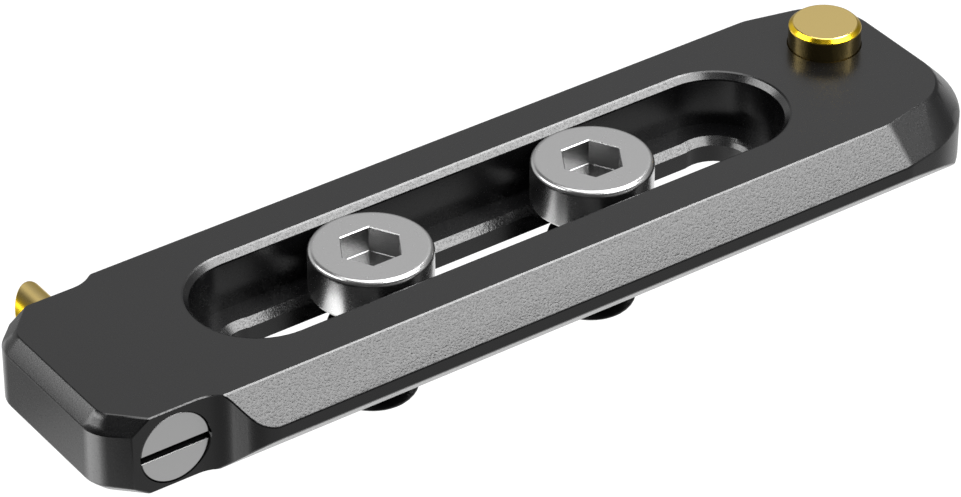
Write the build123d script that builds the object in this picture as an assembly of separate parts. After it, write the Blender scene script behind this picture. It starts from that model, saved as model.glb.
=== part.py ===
"""Low-profile NATO rail with two captive mounting screws, a sprung release pin and a stop pin.

Millimetres. The origin is on the underside below the middle of the slot. +X runs along the rail
towards the stop pin, +Y towards the tip of the release pin, +Z up through the clamping face.
"""
from build123d import *
import math
import os

os.makedirs("parts", exist_ok=True)

# Dovetail section
THICKNESS = 6.0
HALF_WIDTH = 10.6
TOP_BEVEL = 2.33
UNDERCUT = 2.635
FOOT_HALF_WIDTH = HALF_WIDTH - UNDERCUT

# Left end, with its two cut corners
LEFT_END_X = -35.65
LEFT_CORNER_Y = 5.75
LEFT_CORNER_R = 2.6
LEFT_TOP_CHAMFER = 1.0
LEFT_FOOT_CHAMFER = 0.9

# Right end, with its two slight tapers; its bevel narrows round the corners
RIGHT_END_X = 37.12
TAPER_LENGTH = 9.17
TAPER_START_X = RIGHT_END_X - TAPER_LENGTH
TAPER_DEG = 12.8
TAPER_BLEND_R = 3.0
RIGHT_CORNER_R = 8.57
RIGHT_TOP_CORNER_R = 4.27
RIGHT_FOOT_CHAMFER = 0.35

# Cross bore of the release pin
PIN_FROM_LEFT_END = 5.15
PIN_X = LEFT_END_X + PIN_FROM_LEFT_END
PIN_Z = 2.9

# Side recesses beside the release pin
RECESS_DEPTH = 2.95
RECESS_HALF_WIDTH = HALF_WIDTH - RECESS_DEPTH
RECESS_PAST_PIN = 3.0
RECESS_FOOT_X = PIN_X + RECESS_PAST_PIN
RECESS_SLOPE_DEG = 55.1
RECESS_BLEND_R = 0.85 * RECESS_DEPTH

# Stepped slot: a wide part for the screw heads over a narrow part for their necks
SLOT_CENTRE_X = 19.0
HEAD_SLOT_R = 4.68
HEAD_SLOT_CHAMFER = 0.46
LEDGE_Z = 1.905
NECK_SLOT_R = 2.5
NECK_SLOT_CHAMFER = 0.5
ENTRY_HOLE_R = 2.6

# Captive 1/4 inch mounting screws, shown lifted until the thread meets the underside
LEFT_SCREW_X = -10.125
RIGHT_SCREW_X = 8.227
SCREW_LIFT = 1.0
HEAD_CLEARANCE = 0.375
NECK_CLEARANCE = 0.2
HEAD_R = HEAD_SLOT_R - HEAD_CLEARANCE
HEAD_HEIGHT = 3.29
HEAD_TOP_FILLET = 0.42
HEAD_FOOT_CHAMFER = 0.15
NECK_R = NECK_SLOT_R - NECK_CLEARANCE
THREAD_R = 3.175
THREAD_LENGTH = 5.35
THREAD_TIP_CHAMFER = 0.15
SOCKET_ACROSS_FLATS = 3.969
SOCKET_DEPTH = 1.965
SOCKET_CHAMFER = 0.06

# Steps of the cross bore, from the plug to the seat of the collar of the release pin
PLUG_HOLE_R = 2.66
PLUG_RECESS = 0.05
PLUG_LENGTH = 3.15
PLUG_SEAT_Y = PLUG_RECESS + PLUG_LENGTH - RECESS_HALF_WIDTH
COLLAR_BORE_R = 2.3
COLLAR_SEAT_WALL = 2.5
COLLAR_SEAT_Y = RECESS_HALF_WIDTH - COLLAR_SEAT_WALL

# Release pin
PIN_R = 1.75
PIN_CLEARANCE = 0.05
COLLAR_CLEARANCE = 0.1
COLLAR_LENGTH = 1.5
SPIGOT_R = 1.3
SPIGOT_LENGTH = 2.45
TIP_REACH = 2.55
TIP_AXIS_Y = RECESS_HALF_WIDTH + TIP_REACH
TIP_CUT_DEG = 45.0
TIP_TURN_DEG = 53.8
TIP_EDGE = 0.08

# Plug and spring behind the release pin
PLUG_CLEARANCE = 0.05
PLUG_EDGE = 0.07
PLUG_SLOT_DROP = 0.1
PLUG_SLOT_WIDTH = 0.48
PLUG_SLOT_DEPTH = 0.8
SPRING_R = 1.85
SPRING_WIRE_R = 0.22
SPRING_COILS = 7

# Stop pin
STOP_FROM_RIGHT_END = 6.52
STOP_X = RIGHT_END_X - STOP_FROM_RIGHT_END
STOP_Y = 2.67
STOP_R = 2.6
STOP_HEIGHT = 1.78
STOP_CHAMFER = 0.3

# How far a cutter reaches past the metal
OVER = 8.0


def mirrored(points):
    """The points, then their mirror images across the X axis in reverse order."""
    return points + [(x, -y) for x, y in reversed(points)]


def outline(points):
    """A flat face bounded by straight lines through the points."""
    return make_face(Polyline(*points, close=True))


def both_sides(shape):
    """The shape and its mirror image on the other side of the rail."""
    return shape + mirror(shape, about=Plane.XZ)


def cross_rod(radius, y_from, y_to):
    """A cylinder on the axis of the release pin between two values of Y."""
    start = Plane(origin=(PIN_X, y_from, PIN_Z), x_dir=(1, 0, 0), z_dir=(0, 1, 0))
    return extrude(start * Circle(radius), amount=y_to - y_from)


def tapered_plan(inset, corner_r):
    """Outline of the rail with the tapered right end, offset inwards, with its corners rounded."""
    taper = math.radians(TAPER_DEG)
    start_x = TAPER_START_X - inset * math.tan(taper / 2)
    end_x = RIGHT_END_X - inset
    side_y = HALF_WIDTH - inset
    corner_y = side_y - (end_x - start_x) * math.tan(taper)
    far_left = LEFT_END_X - OVER
    plan = outline(mirrored([(far_left, side_y), (start_x, side_y), (end_x, corner_y)]))
    plan = fillet(plan.vertices().group_by(Axis.X)[1], TAPER_BLEND_R)
    return fillet(plan.vertices().group_by(Axis.X)[-1], corner_r)


def tapered_block():
    """Plate with the tapered right end and the bevel round its top edge."""
    land = tapered_plan(0, RIGHT_CORNER_R)
    top = tapered_plan(TOP_BEVEL, RIGHT_TOP_CORNER_R)
    land_z = THICKNESS - TOP_BEVEL
    bevelled = loft([Pos(0, 0, land_z) * land, Pos(0, 0, THICKNESS) * top], ruled=True)
    block = extrude(land, amount=land_z) + bevelled
    foot = block.edges().group_by(Axis.Z)[0]
    end_foot = foot.filter_by_position(Axis.X, TAPER_START_X, RIGHT_END_X + 1)
    return chamfer(end_foot, RIGHT_FOOT_CHAMFER)


def undercuts():
    """The metal removed under both lands to make the dovetail."""
    points = [
        (FOOT_HALF_WIDTH - OVER, -OVER),
        (HALF_WIDTH + OVER, UNDERCUT + OVER),
        (HALF_WIDTH + 2 * OVER, -OVER),
    ]
    start = Plane(origin=(LEFT_END_X - 2 * OVER, 0, 0), x_dir=(0, 1, 0), z_dir=(1, 0, 0))
    length = RIGHT_END_X - LEFT_END_X + 4 * OVER
    return both_sides(extrude(start * outline(points), amount=length))


def left_end_form():
    """The space the left end keeps: cut corners, blends and chamfers above and below."""
    reach = HALF_WIDTH + OVER - LEFT_CORNER_Y
    points = [
        (LEFT_END_X, LEFT_CORNER_Y),
        (LEFT_END_X + reach, LEFT_CORNER_Y + reach),
        (RIGHT_END_X + OVER, LEFT_CORNER_Y + reach),
    ]
    plan = outline(mirrored(points))
    plan = fillet(plan.vertices().group_by(Axis.X)[0], LEFT_CORNER_R)
    form = extrude(plan, amount=THICKNESS)
    form = chamfer(form.edges().group_by(Axis.Z)[-1], LEFT_TOP_CHAMFER)
    return chamfer(form.edges().group_by(Axis.Z)[0], LEFT_FOOT_CHAMFER)


def recesses():
    """The metal removed on both sides beside the release pin, at full height."""
    depth = HALF_WIDTH - RECESS_HALF_WIDTH
    shoulder_x = RECESS_FOOT_X + depth / math.tan(math.radians(RECESS_SLOPE_DEG))
    points = [
        (LEFT_END_X - OVER, RECESS_HALF_WIDTH),
        (RECESS_FOOT_X, RECESS_HALF_WIDTH),
        (shoulder_x, HALF_WIDTH),
        (shoulder_x + OVER, HALF_WIDTH),
        (shoulder_x + OVER, HALF_WIDTH + OVER),
        (LEFT_END_X - OVER, HALF_WIDTH + OVER),
    ]
    plan = outline(points)
    bends = [
        v for v in plan.vertices()
        if abs(v.X - RECESS_FOOT_X) < 0.01 or abs(v.X - shoulder_x) < 0.01
    ]
    plan = fillet(bends, RECESS_BLEND_R)
    return both_sides(extrude(Pos(0, 0, -OVER) * plan, amount=THICKNESS + 2 * OVER))


def slot_edges(shape, z):
    """The edges of the slot that lie at height z."""
    reach = SLOT_CENTRE_X + HEAD_SLOT_R + 0.1
    level = shape.edges().filter_by_position(Axis.Z, z - 0.001, z + 0.001)
    inside = level.filter_by_position(Axis.X, -reach, reach)
    return inside.filter_by_position(Axis.Y, -HEAD_SLOT_R - 0.1, HEAD_SLOT_R + 0.1)


def stepped_slot():
    """The space of the slot: head slot, ledge, neck slot and the two screw entry holes."""
    length = 2 * SLOT_CENTRE_X
    head_slot = SlotCenterToCenter(length, 2 * HEAD_SLOT_R)
    neck_slot = SlotCenterToCenter(length, 2 * NECK_SLOT_R)
    entries = Pos(SLOT_CENTRE_X, 0) * Circle(ENTRY_HOLE_R) + Pos(-SLOT_CENTRE_X, 0) * Circle(ENTRY_HOLE_R)
    lower = extrude(Pos(0, 0, -1) * (neck_slot + entries), amount=LEDGE_Z + 1)
    upper = extrude(Pos(0, 0, LEDGE_Z) * head_slot, amount=THICKNESS - LEDGE_Z + 1)
    return lower + upper


def build_rail_body():
    """Dovetail plate with its recesses, slot, cross bore and stop pin bore."""
    body = (tapered_block() - undercuts()) & left_end_form()
    body -= recesses()
    body -= stepped_slot()
    rim = slot_edges(body, THICKNESS)
    body = chamfer(rim, HEAD_SLOT_CHAMFER)
    ledge = [e for e in slot_edges(body, LEDGE_Z) if abs(e.center().Y) < HEAD_SLOT_R - 1]
    body = chamfer([e for e in ledge if is_neck_edge(e)], NECK_SLOT_CHAMFER)
    body -= cross_rod(PLUG_HOLE_R, -RECESS_HALF_WIDTH - 1, PLUG_SEAT_Y)
    body -= cross_rod(COLLAR_BORE_R, PLUG_SEAT_Y - 1, COLLAR_SEAT_Y)
    body -= cross_rod(PIN_R + PIN_CLEARANCE, COLLAR_SEAT_Y - 1, RECESS_HALF_WIDTH + 1)
    body -= Pos(STOP_X, STOP_Y, THICKNESS / 2) * Cylinder(STOP_R, THICKNESS + 2)
    return body


def is_neck_edge(edge):
    """Whether an edge of the ledge belongs to the neck slot or an entry hole."""
    box = edge.bounding_box()
    return max(abs(box.min.Y), abs(box.max.Y)) < ENTRY_HOLE_R + 0.1


def build_mounting_screw(x):
    """Captive socket screw: head, thin neck through the slot and a wide thread below the rail."""
    top = LEDGE_Z + SCREW_LIFT + HEAD_HEIGHT
    foot = LEDGE_Z + SCREW_LIFT
    tip = -THREAD_LENGTH
    profile = [
        (0, tip),
        (THREAD_R - THREAD_TIP_CHAMFER, tip),
        (THREAD_R, tip + THREAD_TIP_CHAMFER),
        (THREAD_R, 0),
        (NECK_R, 0),
        (NECK_R, foot),
        (HEAD_R - HEAD_FOOT_CHAMFER, foot),
        (HEAD_R, foot + HEAD_FOOT_CHAMFER),
        (HEAD_R, top),
        (0, top),
    ]
    screw = revolve(Plane.XZ * outline(profile), axis=Axis.Z)
    screw = fillet(screw.edges().group_by(Axis.Z)[-1], HEAD_TOP_FILLET)
    hexagon = RegularPolygon(SOCKET_ACROSS_FLATS / 2, 6, major_radius=False)
    socket = extrude(Pos(0, 0, top - SOCKET_DEPTH) * hexagon, amount=SOCKET_DEPTH + 1)
    screw -= socket
    mouth = [e for e in screw.edges().group_by(Axis.Z)[-1] if e.geom_type == GeomType.LINE]
    screw = chamfer(mouth, SOCKET_CHAMFER)
    return Pos(x, 0, 0) * screw


def build_release_pin():
    """Sprung pin: spigot inside the spring, collar against its seat, slanted tip outside."""
    collar_back = COLLAR_SEAT_Y - COLLAR_LENGTH
    pin = cross_rod(SPIGOT_R, collar_back - SPIGOT_LENGTH, collar_back)
    pin += cross_rod(COLLAR_BORE_R - COLLAR_CLEARANCE, collar_back, COLLAR_SEAT_Y)
    pin += cross_rod(PIN_R, COLLAR_SEAT_Y, TIP_AXIS_Y + 2 * PIN_R)
    slope = math.tan(math.radians(TIP_CUT_DEG))
    turn = math.radians(TIP_TURN_DEG)
    normal = (-slope * math.cos(turn), 1, -slope * math.sin(turn))
    cut = Plane(origin=(PIN_X, TIP_AXIS_Y, PIN_Z), z_dir=normal)
    pin -= extrude(cut * Rectangle(6 * PIN_R, 6 * PIN_R), amount=4 * PIN_R)
    tip_edge = pin.faces().sort_by(Axis.Y)[-1].edges()
    return chamfer(tip_edge, TIP_EDGE)


def build_spring_plug():
    """Slotted plug that closes the cross bore behind the spring."""
    radius = PLUG_HOLE_R - PLUG_CLEARANCE
    outer_y = -RECESS_HALF_WIDTH + PLUG_RECESS
    plug = cross_rod(radius, outer_y, PLUG_SEAT_Y)
    cutter = Box(2 * radius + 2, 2 * PLUG_SLOT_DEPTH, PLUG_SLOT_WIDTH)
    plug -= Pos(PIN_X, outer_y, PIN_Z - PLUG_SLOT_DROP) * cutter
    return chamfer(plug.edges().group_by(Axis.Y)[0], PLUG_EDGE)


def build_release_spring():
    """Coil spring with ground ends between the plug and the collar of the release pin."""
    collar_back = COLLAR_SEAT_Y - COLLAR_LENGTH
    length = collar_back - PLUG_SEAT_Y
    pitch = (length - SPRING_WIRE_R) / SPRING_COILS
    start = (PIN_X, PLUG_SEAT_Y + SPRING_WIRE_R / 2, PIN_Z)
    path = Helix(pitch, length - SPRING_WIRE_R, SPRING_R, center=start, direction=(0, 1, 0))
    section = Plane(origin=path @ 0, z_dir=path % 0) * RegularPolygon(SPRING_WIRE_R, 6)
    coil = sweep(section, path=path, is_frenet=True)
    return coil & cross_rod(SPRING_R + 1, PLUG_SEAT_Y, collar_back)


def build_stop_pin():
    """Fixed pin pressed through the rail, standing above its top face."""
    pin = Pos(STOP_X, STOP_Y, 0) * extrude(Circle(STOP_R), amount=THICKNESS + STOP_HEIGHT)
    return chamfer(pin.edges().group_by(Axis.Z)[-1], STOP_CHAMFER)


export_step(build_rail_body(), "parts/rail_body.step")
export_step(build_mounting_screw(LEFT_SCREW_X), "parts/left_mounting_screw.step")
export_step(build_mounting_screw(RIGHT_SCREW_X), "parts/right_mounting_screw.step")
export_step(build_release_pin(), "parts/release_pin.step")
export_step(build_release_spring(), "parts/release_spring.step")
export_step(build_spring_plug(), "parts/spring_plug.step")
export_step(build_stop_pin(), "parts/stop_pin.step")
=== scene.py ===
# %% [markdown]
# # A NATO rail, dressed for its portrait
# A NATO rail is a dovetail bar that a camera clamp slides onto. This one is held to a camera cage by
# two captive screws, and a gold release pin and stop pin keep the clamp from running off either end.
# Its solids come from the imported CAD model, in metres. This lesson adds what the solids leave out:
# broken edges, real screw threads, closed end coils on the spring, the finish of each metal, and the
# light.

# %% Load the frame
import math
import bmesh
import bpy
import numpy as np
from mathutils import Matrix, Vector


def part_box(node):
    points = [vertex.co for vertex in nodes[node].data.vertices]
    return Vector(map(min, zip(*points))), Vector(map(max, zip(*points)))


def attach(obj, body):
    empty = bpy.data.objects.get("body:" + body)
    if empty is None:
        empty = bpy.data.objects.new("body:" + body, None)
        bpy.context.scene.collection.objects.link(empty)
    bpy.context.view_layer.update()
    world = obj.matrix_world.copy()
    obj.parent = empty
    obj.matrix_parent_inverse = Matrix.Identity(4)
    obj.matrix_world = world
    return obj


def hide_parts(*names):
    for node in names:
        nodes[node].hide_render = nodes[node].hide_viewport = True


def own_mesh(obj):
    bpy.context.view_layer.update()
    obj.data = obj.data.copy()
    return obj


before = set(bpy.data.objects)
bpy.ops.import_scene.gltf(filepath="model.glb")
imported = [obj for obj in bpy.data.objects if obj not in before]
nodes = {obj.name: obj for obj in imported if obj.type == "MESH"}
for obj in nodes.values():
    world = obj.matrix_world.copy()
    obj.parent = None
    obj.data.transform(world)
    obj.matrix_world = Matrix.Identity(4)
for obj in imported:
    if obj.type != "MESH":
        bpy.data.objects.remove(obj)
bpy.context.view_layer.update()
MM = 0.001                       # a millimetre in metres
print("nodes:", sorted(nodes))

# %% [markdown]
# ## Small helpers
# Colours are written as sRGB hex values, as a paint chart gives them, and a shader wants linear
# light, so one function turns one into the other. A second one adds a shader node, sets its values
# and links it. The room, the floor and the metals all use a ramp from one value to another, and
# products of two such ramps.

# %% Colour and node helpers
def linear(hex_colour):
    """sRGB hex to linear RGBA: c / 12.92 when dark, else ((c + 0.055) / 1.055) to the power 2.4."""
    out = []
    for i in (1, 3, 5):
        c = int(hex_colour[i:i + 2], 16) / 255
        out.append(c / 12.92 if c <= 0.04045 else ((c + 0.055) / 1.055) ** 2.4)
    return (*out, 1.0)


def add(tree, kind, settings=None, values=None, links=None):
    """Adds one shader node. links maps an input to (node, output)."""
    node = tree.nodes.new(kind)
    for name, value in (settings or {}).items():
        setattr(node, name, value)
    for name, value in (values or {}).items():
        node.inputs[name].default_value = value
    for name, (source, output) in (links or {}).items():
        tree.links.new(source.outputs[output], node.inputs[name])
    return node


def ramp(tree, source, start=0.0, end=1.0, low=0.0, high=1.0, shape="SMOOTHSTEP"):
    """Goes from low to high, and stays there, while source, a (node, output) pair, goes from start to end."""
    return add(tree, "ShaderNodeMapRange", {"interpolation_type": shape},
               {"From Min": start, "From Max": end, "To Min": low, "To Max": high}, {"Value": source})


def product(tree, one, other):
    """Multiplies two values, each given as a (node, output) pair."""
    return add(tree, "ShaderNodeMath", {"operation": "MULTIPLY"}, None, {0: one, 1: other})


# %% [markdown]
# Two more functions open an empty material and cover it with its skin at the end. The last one puts
# arrays of points and faces into a mesh.

# %% Material and mesh helpers
CREASE_DEG = 30                  # where two faces turn further than this, the light shows an edge


def new_material(name):
    """An empty material, its node tree and its output node."""
    material = bpy.data.materials.new(name)
    material.use_nodes = True
    material.node_tree.nodes.clear()
    return material, material.node_tree, add(material.node_tree, "ShaderNodeOutputMaterial")


def cover(material, out, values, links):
    """Ends a material with a Principled skin that has these values and links, and returns the material."""
    tree = material.node_tree
    skin = add(tree, "ShaderNodeBsdfPrincipled", None, values, links)
    tree.links.new(skin.outputs[0], out.inputs["Surface"])
    print(material.name, "with", len(tree.nodes), "nodes")
    return material


def new_piece(name, points, faces):
    """A smooth mesh object at the origin from an array of points in metres and a list of faces."""
    mesh = bpy.data.meshes.new(name)
    mesh.from_pydata(points.tolist(), [], faces)
    mesh.validate()
    mesh.shade_smooth()
    mesh.set_sharp_from_angle(angle=math.radians(CREASE_DEG))
    piece = bpy.data.objects.new(name, mesh)
    bpy.context.scene.collection.objects.link(piece)
    print(name, len(points), "points,", len(faces), "faces")
    return piece


# %% [markdown]
# ## The camera
# The photograph was taken from the left and in front, about 35 degrees above the rail and 34 cm away,
# through a long lens: at that distance the far end looks only slightly smaller than the near one.
# Position, direction and lens were fitted to the rail's long edges and to its circles.

# %% Camera
PHOTO_WIDTH = 961                # pixels
LENS_MM, SENSOR_MM = 185.81, 36
CAMERA_AT = (-0.160500, -0.227704, 0.195561)
camera = bpy.data.objects.new("camera", bpy.data.cameras.new("camera"))
bpy.context.scene.collection.objects.link(camera)
camera.data.sensor_width = SENSOR_MM
camera.data.lens = LENS_MM
camera.data.clip_start = 0.01
camera.data.shift_x = -0.5 / PHOTO_WIDTH     # half a pixel each way
camera.data.shift_y = 0.5 / PHOTO_WIDTH
right = Vector((0.818683, -0.574244, -0.001447))
forward = Vector((0.470825, 0.672679, -0.570813))
turn = Matrix((right, right.cross(forward), -forward)).transposed().to_4x4()
camera.matrix_world = Matrix.Translation(CAMERA_AT) @ turn
bpy.context.scene.camera = camera
print("camera looks along", tuple(round(v, 3) for v in forward))

# %% [markdown]
# ## The room
# Black, glossy metal shows little of its own colour. What it shows is the room, so the room is read
# from the rail: each flat face mirrors one direction. The wall behind the rail is white, it falls
# off overhead, and the side where the camera stands is dim. The world shader paints that with two
# soft steps, one away from the camera and one upwards, and the camera itself sees plain white.
# Round patches then darken or lighten it. One dims the foot of the wall behind the rail. Three are
# black flags, as a photographer hangs beside a lamp to draw a dark line along an edge. The last is a
# pale card over the camera, for the pins' rims.

# %% World
AWAY = (0.576, 0.817, 0.0)       # level, from the camera towards the rail
PATCHES = {                      # direction, half angle at its rim and its core in degrees, factor in the core
    "low wall": ((0.45, 0.88, 0.0), 38, 14, 0.45),
    "flag behind": ((-0.134, 0.673, 0.728), 26, 10, 0.25),
    "flag at the left": ((-0.738, 0.673, -0.058), 20, 8, 0.3),
    "flag at the right": ((0.97, 0.15, 0.17), 38, 14, 0.3),
    "card over the camera": ((-0.330, -0.469, 0.818), 17, 6, 11.0),
}
world = bpy.data.worlds.new("room")
bpy.context.scene.world = world
world.use_nodes = True
tree = world.node_tree
tree.nodes.clear()
out = add(tree, "ShaderNodeOutputWorld")
path = add(tree, "ShaderNodeLightPath")
direction = add(tree, "ShaderNodeTexCoord")
away = add(tree, "ShaderNodeVectorMath", {"operation": "DOT_PRODUCT"}, {1: AWAY}, {0: (direction, "Generated")})
split = add(tree, "ShaderNodeSeparateXYZ", None, None, {"Vector": (direction, "Generated")})
wall = ramp(tree, (away, "Value"), start=-0.5, end=0.35, low=0.085, high=0.88)
ceiling = ramp(tree, (split, "Z"), start=0.62, end=0.8, low=1.0, high=0.4)
glow = product(tree, (wall, "Result"), (ceiling, "Result"))
for name, (towards, rim_deg, core_deg, factor) in PATCHES.items():
    near = add(tree, "ShaderNodeVectorMath", {"operation": "DOT_PRODUCT"}, {1: towards},
               {0: (direction, "Generated")})
    patch = ramp(tree, (near, "Value"), start=math.cos(math.radians(rim_deg)),
                 end=math.cos(math.radians(core_deg)), low=1.0, high=factor)
    glow = product(tree, (glow, "Value"), (patch, "Result"))
    print(name, "times", factor)
lit = add(tree, "ShaderNodeBackground", None, None, {"Strength": (glow, "Value")})
seen = add(tree, "ShaderNodeBackground", None, {"Color": (1, 1, 1, 1), "Strength": 1})
both = add(tree, "ShaderNodeMixShader", None, None, {0: (path, "Is Camera Ray"), 1: (lit, 0), 2: (seen, 0)})
tree.links.new(both.outputs[0], out.inputs["Surface"])
print("world nodes:", len(tree.nodes))

# %% [markdown]
# ## The floor
# The rail hangs 3 cm above a white sweep. A white floor under a bright lamp would shine on the
# underside like a second lamp, so the floor is plain grey to the light and glows white for the
# camera. Its diffuse part still takes the rail's soft shadow. To the rail's mirror it shows a painted
# glow instead: brighter behind the rail than in front of it, which the lit undercut and the darker
# land above it show. Left of the rail, where the end's walls mirror it, it is dim close by and bright
# further back.

# %% The painted glow that the floor shows in a mirror
FLOOR_Z = -30 * MM
material, tree, out = new_material("white_sweep_paper_with_painted_mirror_glow")
coord = add(tree, "ShaderNodeTexCoord")
split = add(tree, "ShaderNodeSeparateXYZ", None, None, {"Vector": (coord, "Object")})
behind = ramp(tree, (split, "Y"), start=-0.045, end=0.012, low=0.46, high=1.1)
far = ramp(tree, (split, "Y"), start=0.045, end=0.10, low=1.0, high=0.4)
off_right = ramp(tree, (split, "X"), start=0.056, end=0.075, low=1.0, high=0.68)
falls = product(tree, (far, "Result"), (off_right, "Result"))
lit_patch = product(tree, (behind, "Result"), (falls, "Value"))
beside = ramp(tree, (split, "X"), start=-0.06, end=-0.03)
far_left = ramp(tree, (split, "Y"), start=0.046, end=0.075, low=0.3, high=1.85)
# painted reflection: the floor's glow as the rail's faces mirror it, set by place and not by the lamps
painted_mirror_glow = add(tree, "ShaderNodeMix", None, None,
            {"Factor": (beside, "Result"), "A": (far_left, "Result"), "B": (lit_patch, "Value")})
mirrored = add(tree, "ShaderNodeEmission", None, {"Color": (1, 1, 1, 1)}, {"Strength": (painted_mirror_glow, "Result")})
print("nodes for the mirrored floor:", len(tree.nodes))

# %% Floor
FLOOR_HALF, GLOW_FOR_CAMERA = 3.0, 0.92
path = add(tree, "ShaderNodeLightPath")
paper = add(tree, "ShaderNodeBsdfDiffuse", None, {"Color": linear("#6a6a6a")})
white = add(tree, "ShaderNodeEmission", None, {"Color": (1, 1, 1, 1), "Strength": GLOW_FOR_CAMERA})
lit_paper = add(tree, "ShaderNodeAddShader", None, None, {0: (paper, 0), 1: (white, 0)})
in_mirror = add(tree, "ShaderNodeMath", {"operation": "MAXIMUM"}, None,
                {0: (path, "Is Glossy Ray"), 1: (path, "Is Transmission Ray")})
for_camera = add(tree, "ShaderNodeMixShader", None, None,
                 {0: (path, "Is Camera Ray"), 1: (paper, 0), 2: (lit_paper, 0)})
total = add(tree, "ShaderNodeMixShader", None, None, {0: (in_mirror, 0), 1: (for_camera, 0), 2: (mirrored, 0)})
tree.links.new(total.outputs[0], out.inputs["Surface"])
square = ((-1, -1), (1, -1), (1, 1), (-1, 1))
floor = new_piece("floor", np.array([(FLOOR_HALF * x, FLOOR_HALF * y, FLOOR_Z) for x, y in square]), [[0, 1, 2, 3]])
floor.data.materials.append(material)

# %% [markdown]
# ## The lamps
# A lamp is placed by the face that mirrors it. A broad softbox in front to the right fills the long
# bevel, one overhead draws the white rims of the screw heads, and one at the left lights the end's
# chamfers. A short strip overhead draws the line along the top of the bevel. A small card lying on
# the floor at the left puts the bright line on the end's corner. It is a stack of three that add up,
# brightest in the middle, because the line fades softly on both sides.

# %% Lamps
LAMP_DISTANCE = 1.5
CARD_AT = (-0.080, 0.006, FLOOR_Z)
CARD_GAP = 0.5 * MM
CARD_LAYERS = ((0.064, 0.5), (0.048, 1.2), (0.032, 2.0))      # side in metres, radiance


def softbox(name, towards, along, length, width, radiance, distance=LAMP_DISTANCE, aim=(0, 0, 0)):
    """A rectangular lamp that faces aim, its long side along a direction: watts = radiance x pi x area."""
    lamp = bpy.data.objects.new(name, bpy.data.lights.new(name, "AREA"))
    lamp.data.shape = "RECTANGLE"
    lamp.data.size, lamp.data.size_y = length, width
    lamp.data.energy = radiance * math.pi * length * width
    towards = Vector(towards).normalized()
    across = towards.cross(Vector(along)).normalized()
    facing = Matrix((across.cross(towards), across, towards)).transposed().to_4x4()
    lamp.matrix_world = Matrix.Translation(Vector(aim) + towards * distance) @ facing
    lamp.visible_camera = False
    bpy.context.scene.collection.objects.link(lamp)
    print(name, "at", tuple(round(v, 2) for v in lamp.matrix_world.translation), round(lamp.data.energy, 2), "W")


softbox("front_softbox", (0.359, -0.571, 0.746), (0.668, 0.144, -0.211), length=1.24, width=0.43, radiance=8.8)
softbox("left_softbox", (-0.656, 0.405, 0.637), (0.146, 0.908, -0.394), length=1.06, width=0.34, radiance=6.6)
softbox("top_softbox", (0.16, 0.03, 1.0), (1, 0, 0), length=1.50, width=1.15, radiance=3.0)
softbox("edge_strip", (0.471, 0.072, 0.880), (1, 0, -0.53), length=0.36, width=0.20, radiance=22.0)
for layer, (side, radiance) in enumerate(CARD_LAYERS):
    softbox("floor_card_%d" % layer, (0, 0, -1), (1, 0, 0), side, side, radiance,
            distance=-CARD_GAP * (layer + 1), aim=CARD_AT)

# %% [markdown]
# ## Broken edges
# No machined edge is razor sharp. A file or a tumbling drum breaks it, and in the light the cut shows
# as a thin bright line. The CAD solids are sharp, so each one is copied, its loose triangles are
# merged, its flat faces joined, and a Bevel modifier cuts what is left: 0.08 mm wide on the rail,
# 0.04 mm on the pins and hardly at all on the plug. Only edges that stick out are cut, because an
# inner corner keeps the shape of the cutter. The photograph shows no line round the plug's hole, nor
# on the ledge in the slot, so the edges there stay sharp.

# %% Edges that stay sharp
PIN_X, PIN_Z = -30.5, 2.9        # the axis along Y that the plug, the spring and the release pin share
HOLE_R, FRONT_Y = 2.66, -7       # the plug's hole opens at the front
LEDGE_X, LEDGE_Y, LEDGE_LOW, LEDGE_HIGH = 23, 3.3, 1.2, 2.1
NEAR_RIM, NEAR_WALL = 0.05, 0.01     # how close to a round rim or a flat wall a point counts as on it


def stays_sharp(point):
    """Whether a point lies HOLE_R from the plug's axis at the front, or on the inner rims of the ledge."""
    x, y, z = point / MM
    round_plug = abs(math.hypot(x - PIN_X, z - PIN_Z) - HOLE_R) < NEAR_RIM and y < FRONT_Y
    on_ledge = abs(x) < LEDGE_X and abs(y) < LEDGE_Y and LEDGE_LOW < z < LEDGE_HIGH
    return round_plug or on_ledge


# %% [markdown]
# A chamfer runs along both rims of the plug's slot. Cut as wide as in the solids, it would mirror the
# front lamp as a white line that the photograph doesn't show. So the slot's walls move apart by a
# few hundredths of a millimetre, which leaves less of the chamfer.

# %% The plug's slot
SLOT_Z, SLOT_HALF, SLOT_HALF_WIDER = 2.8, 0.24, 0.275


def widen_plug_slot(work):
    """Moves both walls of the plug's slot from SLOT_HALF to SLOT_HALF_WIDER off its middle."""
    walls = [vert for vert in work.verts if abs(abs(vert.co.z / MM - SLOT_Z) - SLOT_HALF) < NEAR_WALL]
    for vert in walls:
        vert.co.z = (SLOT_Z + math.copysign(SLOT_HALF_WIDER, vert.co.z / MM - SLOT_Z)) * MM
    print(len(walls), "points of the plug's slot moved")


# %% [markdown]
# The recess in each side of the left end has an upright wall that runs straight and then bends
# outwards. In the mesh the bend is a row of thin triangles, and normals averaged over them show as
# splinters of light. The true shape is known, so its corners get the normals of that shape.

# %% Normals of the recess walls
WALL_START, BLEND_START, BLEND_END, BLEND_R = -33.5, -28.808, -26.75, 2.5075     # along X
WALL_IN, WALL_OUT = 7.6, 8.8     # between these distances from the rail's middle
UPRIGHT, SAME_WAY = 0.05, 0.97   # a face is on the wall if it leans less, and agrees with the true normal more


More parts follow.
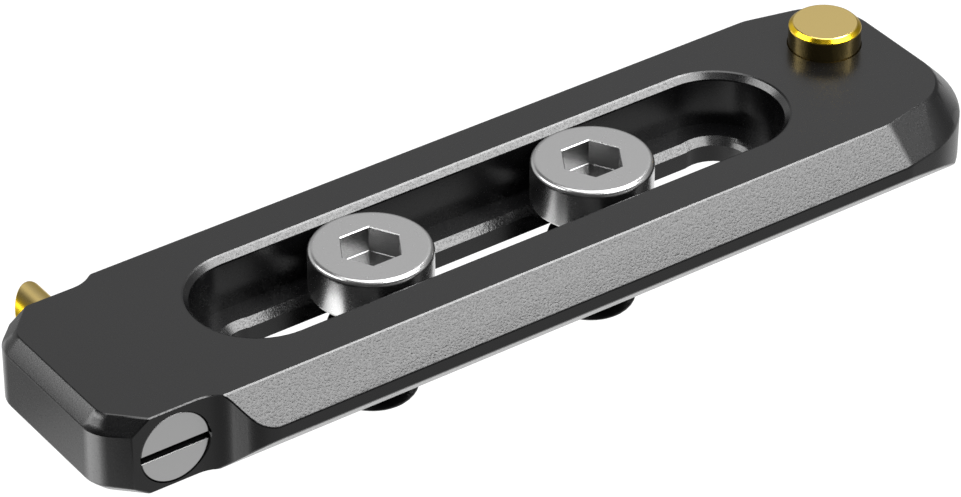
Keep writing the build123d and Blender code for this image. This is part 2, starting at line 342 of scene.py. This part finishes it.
def smooth_recess(mesh):
    """Corner normals with z = 0: x = -(distance into the blend) / its radius, and y makes the length 1."""
    count = len(mesh.loops)
    corner = np.empty(count * 3, dtype=np.float32)
    mesh.corner_normals.foreach_get("vector", corner)
    corner = corner.reshape(-1, 3)
    points = np.array([mesh.vertices[loop.vertex_index].co for loop in mesh.loops]) / MM
    x, off_middle = points[:, 0], np.abs(points[:, 1])
    in_blend = np.clip(x - BLEND_START, 0, BLEND_END - BLEND_START) / BLEND_R
    side = np.sign(points[:, 1])
    wanted = np.stack([-in_blend, side * np.sqrt(1 - in_blend ** 2), np.zeros(count)], axis=-1)
    own = np.zeros((count, 3))
    for face in mesh.polygons:
        own[face.loop_start:face.loop_start + face.loop_total] = face.normal
    upright = (np.abs(own[:, 2]) < UPRIGHT) & ((own * wanted).sum(axis=1) > SAME_WAY)
    within = (x > WALL_START) & (x < BLEND_END + NEAR_WALL) & (off_middle > WALL_IN) & (off_middle < WALL_OUT)
    wall = within & upright
    corner[wall] = wanted[wall]
    mesh.normals_split_custom_set(corner.tolist())
    print(int(wall.sum()), "corners of the recess walls smoothed")


# %% [markdown]
# Where two faces turn less than 18 degrees they are parts of one curve and are shaded as one. The
# cuts get a second material slot, because rubbing has burnished them. Weighted normals then keep the
# big flat faces flat in the light.

# %% Broken edges
WELD_M, JOIN_DEG, CURVE_DEG, CUT_DEG = 1e-7, 0.5, 18, 25      # merge, join, shade as one, cut


def bake(piece):
    """Puts the result of the modifiers into the mesh and takes the modifiers off."""
    piece.data = bpy.data.meshes.new_from_object(piece.evaluated_get(bpy.context.evaluated_depsgraph_get()))
    piece.modifiers.clear()


def broken_edges(node, name, width_mm):
    """A copy of a CAD node with a cut width_mm wide on outer edges over CUT_DEG. Replaces the node."""
    work = bmesh.new()
    work.from_mesh(nodes[node].data)
    bmesh.ops.remove_doubles(work, verts=work.verts, dist=WELD_M)
    if node == "spring_plug":
        widen_plug_slot(work)
    bmesh.ops.dissolve_limit(work, angle_limit=math.radians(JOIN_DEG), verts=work.verts, edges=work.edges)
    rims = work.edges.layers.float.new("bevel_weight_edge")
    for edge in work.edges:
        stays = all(stays_sharp(vert.co) for vert in edge.verts)
        edge[rims] = float(edge.is_convex and edge.calc_face_angle(0) > math.radians(CUT_DEG) and not stays)
    mesh = bpy.data.meshes.new(name)
    work.to_mesh(mesh)
    work.free()
    mesh.shade_smooth()
    mesh.materials.append(None)
    mesh.materials.append(None)
    piece = bpy.data.objects.new(name, mesh)
    bpy.context.scene.collection.objects.link(piece)
    cut = piece.modifiers.new("broken edge", "BEVEL")
    cut.width = width_mm * MM
    cut.segments = 1
    cut.material = 1
    cut.limit_method = "WEIGHT"
    cut.use_clamp_overlap = False
    bake(piece)
    piece.data.set_sharp_from_angle(angle=math.radians(CURVE_DEG))
    normals = piece.modifiers.new("flat faces", "WEIGHTED_NORMAL")
    normals.weight = 50
    normals.keep_sharp = True
    if node == "rail_body":
        bake(piece)
        smooth_recess(piece.data)
    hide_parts(node)
    print(name, len(piece.data.polygons), "faces with a cut of", width_mm, "mm")
    return piece


rail = broken_edges("rail_body", "rail_with_broken_edges", width_mm=0.078)
plug = broken_edges("spring_plug", "slotted_plug", width_mm=0.006)
press_pin = broken_edges("release_pin", "release_pin_with_polished_tip", width_mm=0.04)
stop = broken_edges("stop_pin", "stop_pin_with_polished_rim", width_mm=0.04)
for piece in (rail, plug, stop):
    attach(piece, "rail")
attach(press_pin, "release")

# %% [markdown]
# ## The mounting screws
# A captive camera screw is turned from stainless bar: a wide flat head with a hexagon socket, a neck
# thinner than the thread so that it can't fall out of the slot, and a short 1/4 inch thread. It is
# nearly a turned shape, so it is a stack of rings from the tip up to the socket's floor. Two places
# aren't round. In the socket the radius follows a hexagon, and in the thread it follows a helix.

# %% Rings of a screw
STEPS = 192                      # a multiple of 6, so that the hexagon's corners fall on points
angle = np.arange(STEPS) / STEPS * 2 * np.pi
THREAD_R, THREAD_LENGTH, TIP_CHAMFER, PITCH = 3.175, 5.35, 0.15, 25.4 / 20
THREAD_DEPTH, CREST_FLAT, ROOT_FLAT = 0.5413, 1 / 8, 1 / 4    # in pitches, as the thread standard has them
THREAD_RINGS = 134
RUN_OUT, SHOULDER_R = 0.6, 3.0   # the groove fades out over this height, a chamfer ends at this radius
SHOULDER_Z = -0.02               # the shoulder clears the underside, so that the screw can slide
CREST_TURN = 0.287               # puts a crest at the tip on the side that the camera sees


def flat_ring(radius, z):
    """One ring: the same radius and height all the way round."""
    return np.full(STEPS, radius), np.full(STEPS, z)


def hexagon_ring(across_flats, z):
    """Radius of a hexagon = half its width over flats / cos(angle from the middle of the flat)."""
    from_middle = np.mod(angle, np.pi / 3) - np.pi / 6
    return across_flats / 2 / np.cos(from_middle), np.full(STEPS, z)


def thread_rings():
    """Radius = crest - depth x wedge(height / pitch - turn), with flats on crest and root."""
    z = np.linspace(-THREAD_LENGTH, SHOULDER_Z, THREAD_RINGS)[:, None] + np.zeros(STEPS)
    turn = np.mod(z / PITCH - angle / (2 * np.pi) + CREST_TURN, 1)
    from_crest = np.abs(turn - 0.5) * 2
    wedge = np.clip((from_crest - CREST_FLAT) / (1 - CREST_FLAT - ROOT_FLAT), 0, 1)
    radius = THREAD_R - THREAD_DEPTH * PITCH * wedge * np.clip(-z / RUN_OUT, 0, 1)
    at_tip = THREAD_R - TIP_CHAMFER + (z + THREAD_LENGTH)
    at_shoulder = SHOULDER_R - z
    return np.minimum(np.minimum(radius, at_tip), at_shoulder), z


def stack(rings):
    """Joins single rings and blocks of rings into two arrays, radius and height."""
    radius = np.vstack([np.atleast_2d(r) for r, z in rings])
    height = np.vstack([np.atleast_2d(z) for r, z in rings])
    return radius, height


thread = thread_rings()
print("thread of", len(thread[0]), "rings, root radius", round(float(thread[0].min()), 3), "mm")

# %% [markdown]
# The rings run from the tip outwards, up the outside, over the head and down into the socket, so
# every face points out of the metal. Beside each round lies one more ring, which keeps the flat face
# next to it flat in the light. A middle point closes the tip and the socket's floor.

# %% Head and neck
HEAD_R, HEAD_TOP, HEAD_FOOT, HEAD_ROUND, FOOT_ROUND = 4.305, 6.195, 2.905, 0.42, 0.15
NECK_R, NECK_ROUND = 2.3, 0.1
SOCKET_FLATS, SOCKET_DEPTH, SOCKET_CHAMFER, SOCKET_ROUND = 3.969, 1.965, 0.06, 0.045
HOLD, RIM_HOLD, FLOOR_HOLD = 0.05, 0.04, 0.3     # how far beside a round the extra ring lies
SOCKET_FLOOR = HEAD_TOP - SOCKET_DEPTH
ROUND_STEPS = 10
lean = np.radians(np.linspace(90, 0, ROUND_STEPS + 1))
head_round = [flat_ring(HEAD_R - HEAD_ROUND * (1 - math.sin(a)), HEAD_TOP - HEAD_ROUND * (1 - math.cos(a)))
              for a in lean]
foot_round = [flat_ring(HEAD_R - FOOT_ROUND * (1 - math.sin(a)), HEAD_FOOT + FOOT_ROUND * (1 - math.cos(a)))
              for a in lean[::-2]]
screw_rings = stack([
    thread,
    flat_ring(NECK_R, SHOULDER_Z),
    flat_ring(NECK_R, HEAD_FOOT - NECK_ROUND),
    flat_ring(NECK_R + 0.3 * NECK_ROUND, HEAD_FOOT - 0.3 * NECK_ROUND),
    flat_ring(NECK_R + NECK_ROUND, HEAD_FOOT),
    flat_ring(HEAD_R - FOOT_ROUND - HOLD, HEAD_FOOT),
    *foot_round,
    flat_ring(HEAD_R, HEAD_FOOT + FOOT_ROUND + HOLD),
    flat_ring(HEAD_R, HEAD_TOP - HEAD_ROUND - HOLD),
    *head_round,
    flat_ring(HEAD_R - HEAD_ROUND - RIM_HOLD, HEAD_TOP),
    hexagon_ring(SOCKET_FLATS + 2 * SOCKET_CHAMFER + RIM_HOLD, HEAD_TOP),
    hexagon_ring(SOCKET_FLATS + 2 * SOCKET_CHAMFER, HEAD_TOP),
    hexagon_ring(SOCKET_FLATS, HEAD_TOP - SOCKET_CHAMFER),
    hexagon_ring(SOCKET_FLATS, SOCKET_FLOOR + SOCKET_ROUND),
    hexagon_ring(SOCKET_FLATS - 2 * SOCKET_ROUND, SOCKET_FLOOR),
    hexagon_ring(SOCKET_FLATS - FLOOR_HOLD, SOCKET_FLOOR),
])
print("screw of", len(screw_rings[0]), "rings")


# %% Screws from rings
def wall_faces(rings, steps):
    """Quads from each ring to the next: point j of ring i has the number i x steps + j."""
    i, j = np.meshgrid(np.arange(rings - 1), np.arange(steps), indexing="ij")
    k = (j + 1) % steps
    quads = np.stack([i * steps + j, i * steps + k, (i + 1) * steps + k, (i + 1) * steps + j], axis=-1)
    return quads.reshape(-1, 4).tolist()


def turned(name, radius, height, x):
    """Point = (x + radius cos t, radius sin t, height). A fan of triangles closes both ends."""
    count = len(radius)
    ring_points = np.stack([radius * np.cos(angle), radius * np.sin(angle), height], axis=-1).reshape(-1, 3)
    poles = np.array([[0, 0, height[0, 0]], [0, 0, height[-1, 0]]])
    points = (np.vstack([ring_points, poles]) + (x, 0, 0)) * MM
    j = np.arange(STEPS)
    k = (j + 1) % STEPS
    last = (count - 1) * STEPS
    tip = np.stack([np.full(STEPS, count * STEPS), k, j], axis=-1)
    floor_fan = np.stack([last + j, last + k, np.full(STEPS, count * STEPS + 1)], axis=-1)
    return new_piece(name, points, wall_faces(count, STEPS) + tip.tolist() + floor_fan.tolist())


screws, screw_x = {}, {}
for side in ("left", "right"):
    node = side + "_mounting_screw"
    low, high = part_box(node)
    screw_x[side] = (low[0] + high[0]) / 2 / MM
    screws[side] = turned(side + "_captive_screw", *screw_rings, screw_x[side])
    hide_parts(node)
    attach(screws[side], side + "_screw")

# %% [markdown]
# ## The release spring
# A short compression spring pushes the release pin out. Its end coils are closed, so that it stands
# square, and the coils between them are open. The wire is a circle carried along a helix whose rise
# per turn is one wire thickness at both ends.

# %% Spring
SPRING_FOOT, SPRING_LENGTH = -4.45, 8.1
COIL_R, WIRE_R, COILS = 1.82, 0.22, 7
PER_TURN, WIRE_SIDES = 40, 12
s = np.linspace(0, COILS, COILS * PER_TURN + 1)[:, None]
rise = np.interp(s, [0, 1, COILS - 1, COILS],
                 [0, 2 * WIRE_R, SPRING_LENGTH - 4 * WIRE_R, SPRING_LENGTH - 2 * WIRE_R])
round_wire = np.arange(WIRE_SIDES) / WIRE_SIDES * 2 * np.pi
out_r = COIL_R + WIRE_R * np.cos(round_wire)
wire = np.stack([PIN_X + out_r * np.cos(2 * np.pi * s), SPRING_FOOT + WIRE_R + rise + WIRE_R * np.sin(round_wire),
                 PIN_Z + out_r * np.sin(2 * np.pi * s)], axis=-1)
last = (len(s) - 1) * WIRE_SIDES
coil_faces = wall_faces(len(s), WIRE_SIDES)
coil_faces += [list(range(WIRE_SIDES - 1, -1, -1)), list(range(last, last + WIRE_SIDES))]
spring = new_piece("release_coil_spring", wire.reshape(-1, 3) * MM, coil_faces)
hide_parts("release_spring")
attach(spring, "rail")
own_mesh(spring)

# %% [markdown]
# ## Black anodised aluminium
# The rail is milled, blasted with fine glass beads and anodised black. Anodising grows a clear,
# dyed layer of aluminium oxide, so the surface mirrors like dark glass and not like bare metal: an
# IOR near 1.6 and hardly any colour of its own. The beads leave shallow dimples of 0.05 to 0.1 mm.
# They are drawn 0.15 mm wide, because finer ones would fall between the pixels. A dimple's rim is
# polished and its floor is rougher, so the same noise also moves the roughness. The photograph shows
# the dimples on the long bevels and undercuts. The other faces are smooth from a fine milling cut.

# %% Anodised aluminium
BEAD_MM = 0.15


def noise(tree, width_mm, detail, softness=0.5, centre_x=0):
    """Noise with spots about width_mm wide in the object's coordinates, counted along X from centre_x mm."""
    coord = add(tree, "ShaderNodeTexCoord")
    centred = add(tree, "ShaderNodeMapping", None, {"Location": (-centre_x * MM, 0, 0)}, {"Vector": (coord, "Object")})
    return add(tree, "ShaderNodeTexNoise", None,
               {"Scale": 1 / (width_mm * MM), "Detail": detail, "Roughness": softness},
               {"Vector": (centred, "Vector")})


def anodised_skin(name, colour, ior, depth_mm, smoothest, roughest):
    """Anodised metal: one noise, BEAD_MM wide, moves the height by depth_mm and the roughness."""
    material, tree, out = new_material(name)
    dimples = noise(tree, BEAD_MM, detail=1.0, softness=0.6)
    dented = add(tree, "ShaderNodeBump", None, {"Strength": 1.0, "Distance": depth_mm * MM},
                 {"Height": (dimples, "Fac")})
    rough = ramp(tree, (dimples, "Fac"), start=0.3, end=0.7, low=smoothest, high=roughest, shape="LINEAR")
    return cover(material, out, {"Base Color": linear(colour), "IOR": ior},
                 {"Roughness": (rough, "Result"), "Normal": (dented, "Normal")})


blasted = anodised_skin("black_anodised_aluminium_bead_blasted", "#0a0a0b", ior=1.6, depth_mm=0.014,
                        smoothest=0.19, roughest=0.295)
milled = anodised_skin("black_anodised_aluminium_fine_milled", "#0a0a0b", ior=1.6, depth_mm=0.0025,
                       smoothest=0.235, roughest=0.275)

# %% [markdown]
# The chamfers round the slot are cut last, with a fresh cutter, and the oxide that grows on the
# smooth cut is denser: the photograph shows them brighter than the bevel that faces the same way.
# They get a higher IOR. Round the slot's ends the cutter left them smoother than along its sides.

# %% Bright-cut chamfers
bright_cut = anodised_skin("black_anodised_aluminium_bright_cut", "#0c0c0d", ior=1.7, depth_mm=0.014,
                           smoothest=0.16, roughest=0.3)
bright_ends = anodised_skin("black_anodised_aluminium_bright_cut_round_an_end", "#0c0c0d", ior=1.7, depth_mm=0.003,
                            smoothest=0.24, roughest=0.29)

# %% [markdown]
# The broken edges stand out as thin crisp lines, white where they mirror a lamp and black where they
# mirror a flag. Handling and the clamp's jaws burnish them, so they are smoother than the faces.

# %% Burnished edges
material, tree, out = new_material("black_anodised_aluminium_burnished_edge")
rubbed = noise(tree, 0.6, detail=2.0)
rough = ramp(tree, (rubbed, "Fac"), low=0.12, high=0.2, shape="LINEAR")
burnished = cover(material, out, {"Base Color": linear("#0b0b0c"), "IOR": 1.95}, {"Roughness": (rough, "Result")})

# %% [markdown]
# ## Turned stainless steel
# The screws and the plug are turned from stainless bar and left satin. Steel mirrors about 60 per
# cent of the light and has hardly a colour of its own. Turning and brushing leave marks too fine to
# see one by one. They blur what the steel mirrors, so a shallow noise, 0.25 mm wide, moves the height
# and the roughness a little. The socket's steel is darker, as painted shade in the hollow, and the
# plug's rims are darker and rougher.

# %% Stainless steel
MARK_MM, MARK_DEPTH_MM, ROUGHNESS_SPREAD = 0.25, 0.003, 0.03


def turned_steel(name, colour, roughness, centre_x=0):
    """Satin steel: one noise, MARK_MM wide, moves the height and spreads the roughness either way."""
    material, tree, out = new_material(name)
    marks = noise(tree, MARK_MM, detail=2.0, centre_x=centre_x)
    rough = ramp(tree, (marks, "Fac"), low=roughness - ROUGHNESS_SPREAD, high=roughness + ROUGHNESS_SPREAD,
                 shape="LINEAR")
    bump = add(tree, "ShaderNodeBump", None, {"Strength": 0.3, "Distance": MARK_DEPTH_MM * MM},
               {"Height": (marks, "Fac")})
    return cover(material, out, {"Base Color": linear(colour), "Metallic": 1.0},
                 {"Roughness": (rough, "Result"), "Normal": (bump, "Normal")})


steel = turned_steel("stainless_steel_turned", "#cacaca", roughness=0.26)
# painted shade for the walls and floor of the hexagon socket
socket_steel_with_painted_shade = turned_steel("stainless_steel_socket_with_painted_shade", "#a2a2a2", roughness=0.24)
plug_steel = turned_steel("stainless_steel_faced", "#dedede", roughness=0.3, centre_x=PIN_X)
darker_rim_steel = turned_steel("stainless_steel_darker_rim", "#adadad", roughness=0.55, centre_x=PIN_X)

# %% [markdown]
# The threads are black in the photograph, as on a screw whose thread was oxidised black and oiled
# against galling. Black oxide is a thin dark skin with an oily shine. The same black is painted shade
# in the plug's narrow slot.

# %% Black oxide
material, tree, out = new_material("black_oxide_on_thread_and_painted_slot_shade")
spots = noise(tree, 0.4, detail=3.0)
rough = ramp(tree, (spots, "Fac"), low=0.3, high=0.5, shape="LINEAR")
black_oxide_and_slot_shade = cover(material, out, {"Base Color": linear("#121213"), "IOR": 1.5}, {"Roughness": (rough, "Result")})

# %% [markdown]
# ## Gold coating
# Both pins have a hard gold-coloured coating on polished steel: a deep yellow that holds back nearly
# all blue. It is laid on in a vacuum chamber. The photograph shows it dull on the upright walls, deep
# yellow on the slanting rims and lighter where the surface is turned up. The colour follows the
# height of the surface normal: painted shade on the upright walls and a painted pale sheen on faces
# turned up.

# %% Gold coating
TINT_A, TINT_B, TINT_OUT = 6, 7, 2   # the colour sockets of a Mix node, whose names it shares with others
material, tree, out = new_material("gold_nitride_coating_polished")
spots = noise(tree, 0.3, detail=2.0)
rough = ramp(tree, (spots, "Fac"), low=0.19, high=0.23, shape="LINEAR")
coord = add(tree, "ShaderNodeTexCoord")
upward = add(tree, "ShaderNodeSeparateXYZ", None, None, {"Vector": (coord, "Normal")})
# painted shade and painted sheen: upright walls get a dull gold, faces turned up a pale one
wall_shade_ramp = ramp(tree, (upward, "Z"), start=0.15, end=0.6)
pale_sheen_ramp = ramp(tree, (upward, "Z"), start=0.82, end=0.99)
painted_wall_shade = add(tree, "ShaderNodeMix", {"data_type": "RGBA"},
                {TINT_A: linear("#a8945f"), TINT_B: linear("#ecc527")}, {0: (wall_shade_ramp, "Result")})
gold_with_painted_light = add(tree, "ShaderNodeMix", {"data_type": "RGBA"}, {TINT_B: linear("#e9ce84")},
           {0: (pale_sheen_ramp, "Result"), TINT_A: (painted_wall_shade, TINT_OUT)})
gold = cover(material, out, {"Metallic": 1.0}, {"Base Color": (gold_with_painted_light, TINT_OUT), "Roughness": (rough, "Result")})

# %% [markdown]
# ## Which piece and which face gets which finish
# Each piece first gets its metal, and the rail gets the burnished one in its second slot, where the
# Bevel modifier put the cuts.

# %% Finishes
FINISH = {
    rail: (milled, "black_anodised"),
    plug: (plug_steel, "satin_steel"),
    press_pin: (gold, "gold_plated"),
    stop: (gold, "gold_plated"),
    spring: (steel, "spring_steel"),
    screws["left"]: (steel, "satin_steel"),
    screws["right"]: (steel, "satin_steel"),
}
for piece, (finish, slot) in FINISH.items():
    edge = burnished if piece is rail else finish
    piece.data.materials.clear()
    piece.data.materials.append(finish)
    piece.data.materials.append(edge)
for name, node in nodes.items():
    node.data.materials[0] = {"rail_body": milled, "release_pin": gold, "stop_pin": gold}.get(name, steel)
print("finishes set on", len(FINISH), "pieces")

# %% [markdown]
# Some faces differ from the rest of their piece. They are found by where a face lies and which way it
# looks: the blasted slopes, the chamfers of the slot, the sockets, and the slot and rims of the plug.

# %% Tests for faces
SQRT_HALF = math.sqrt(0.5)       # the height of a normal that is tilted 45 degrees
SLOPE_Y = 7                      # the long slopes lie further from the middle
UPPER_RIM_X, UPPER_RIM_Y, UPPER_RIM_Z = 24.3, 5.3, 5.3        # the slot's rim: within X and Y, above Z
LOWER_RIM_X, LOWER_RIM_Y, LOWER_RIM_Z = 22.5, 3.3, 2          # the narrow slot's: within X and Y, below Z
SLOT_END_X = 19.05               # the slot turns round its ends from here on
SOCKET_R = 2.3                   # the hexagon's corners lie within it
PLUG_FACE_Y, PLUG_SLOT_FLOOR_Y, PLUG_SLOT_HALF = -7.5, -6.7, 0.29
FACE_PLAY = 0.02                 # the dark of the plug's slot starts this far before its face


def long_slopes(centre, normal):
    """The long bevels and undercuts: tilted 45 degrees straight to the side, beyond SLOPE_Y."""
    return (np.abs(normal[1]) > 0.702) & (np.abs(normal[2]) > 0.6) & (np.abs(centre[1]) > SLOPE_Y)


def slot_chamfers(centre, normal):
    """Faces tilted 45 degrees at the slot's rim or at the rim of the narrow slot below it."""
    x, y, z = np.abs(centre)
    tilted = np.abs(normal[2] - SQRT_HALF) < 0.03
    upper = (x < UPPER_RIM_X) & (y < UPPER_RIM_Y) & (z > UPPER_RIM_Z)
    lower = (x < LOWER_RIM_X) & (y < LOWER_RIM_Y) & (z < LOWER_RIM_Z)
    return tilted & (upper | lower)


def slot_end_chamfers(centre, normal):
    """The part of the slot's chamfers that goes round its two ends."""
    return slot_chamfers(centre, normal) & (np.abs(centre[0]) > SLOT_END_X)


def in_socket(axis_x):
    """A test for the walls and the floor of the socket of the screw at axis_x mm."""
    def choose(centre, normal):
        within = np.hypot(centre[0] - axis_x, centre[1]) < SOCKET_R
        return within & (centre[2] > SOCKET_FLOOR - NEAR_WALL) & (centre[2] < HEAD_TOP - SOCKET_CHAMFER)
    return choose


def on_thread(centre, normal):
    """All that stands below the rail's underside, which is at height 0."""
    return centre[2] < -NEAR_WALL


def plug_slot_in_painted_shade(centre, normal):
    """The walls and the floor of the plug's slot, which lie in the dark."""
    deep = (centre[1] > PLUG_FACE_Y - FACE_PLAY) & (centre[1] < PLUG_SLOT_FLOOR_Y)
    return deep & (np.abs(centre[2] - SLOT_Z) < PLUG_SLOT_HALF)


def plug_rims(centre, normal):
    """The chamfers round the plug's front face and along its slot."""
    return (centre[1] < PLUG_FACE_Y) & (normal[1] > -0.95)


# %% Finishes of single faces
def other_finish(piece, material, choose):
    """Gives another material to the faces that choose(centre in mm, normal) picks."""
    piece.data.materials.append(material)
    count = len(piece.data.polygons)
    both = np.empty((2, count * 3))
    piece.data.polygons.foreach_get("center", both[0])
    piece.data.polygons.foreach_get("normal", both[1])
    slots = np.empty(count, dtype=np.int32)
    piece.data.polygons.foreach_get("material_index", slots)
    picked = choose(both[0].reshape(-1, 3).T / MM, both[1].reshape(-1, 3).T)
    last = len(piece.data.materials) - 1
    piece.data.polygons.foreach_set("material_index", np.where(picked, last, slots).astype(np.int32))
    print(piece.name, int(picked.sum()), "faces in", material.name, "and", int((slots == 1).sum()), "on edges")


for side, piece in screws.items():
    other_finish(piece, black_oxide_and_slot_shade, on_thread)
    # painted shade: the socket's walls and floor get the darker steel
    other_finish(piece, socket_steel_with_painted_shade, in_socket(screw_x[side]))
other_finish(rail, blasted, long_slopes)
other_finish(rail, bright_cut, slot_chamfers)
other_finish(rail, bright_ends, slot_end_chamfers)
# painted shade: the walls and floor of the plug's narrow slot get the black
other_finish(plug, black_oxide_and_slot_shade, plug_slot_in_painted_shade)
other_finish(plug, darker_rim_steel, plug_rims)

# %% [markdown]
# ## The last lines
# The Standard view shows the light as it is, without a film curve, so that black and white stay as
# deep and as clean as in the photograph.

# %% Finish
bpy.context.scene.view_settings.view_transform = "Standard"
